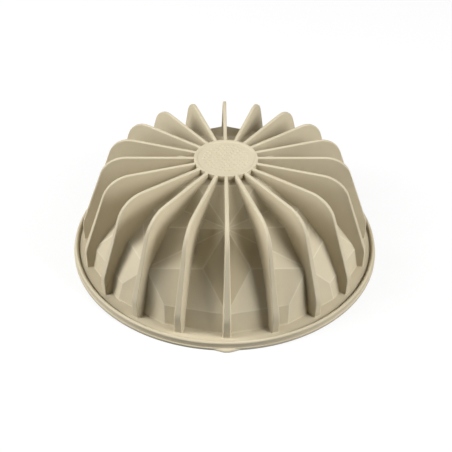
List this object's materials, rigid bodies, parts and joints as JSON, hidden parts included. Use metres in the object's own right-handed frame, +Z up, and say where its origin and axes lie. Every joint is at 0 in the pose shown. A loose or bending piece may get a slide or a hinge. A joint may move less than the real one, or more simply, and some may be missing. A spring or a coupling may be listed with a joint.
{
  "type": "silicone cake mould",
  "caption": "Round faceted silicone cake mould with radial stiffening fins, a central standing disc and a flat beaded rim, resting on its rim with the mouth down.",
  "frame": {"origin": "centre of the mouth, on the plane of the rim's underside, which the mould rests on", "axes": "+Z up from the mouth through the standing disc, -Y towards the front with the grip tab, +X to the right seen from the front"},
  "size_m": [0.23, 0.232, 0.078],
  "materials": {
    "silicone": "satin moulded silicone, warm beige"
  },
  "bodies": {
    "root": {"cavity_shell": "silicone", "hub_disc": "silicone", "fin_01": "silicone", "fin_02": "silicone", "fin_03": "silicone", "fin_04": "silicone", "fin_05": "silicone", "fin_06": "silicone", "fin_07": "silicone", "fin_08": "silicone", "fin_09": "silicone", "fin_10": "silicone", "fin_11": "silicone", "fin_12": "silicone", "fin_13": "silicone", "fin_14": "silicone", "fin_15": "silicone", "fin_16": "silicone", "fin_17": "silicone", "fin_18": "silicone", "fin_19": "silicone", "fin_20": "silicone", "rim_flange": "silicone", "rim_bead": "silicone", "rim_lip": "silicone", "grip_tab": "silicone"}
  },
  "joints": []
}
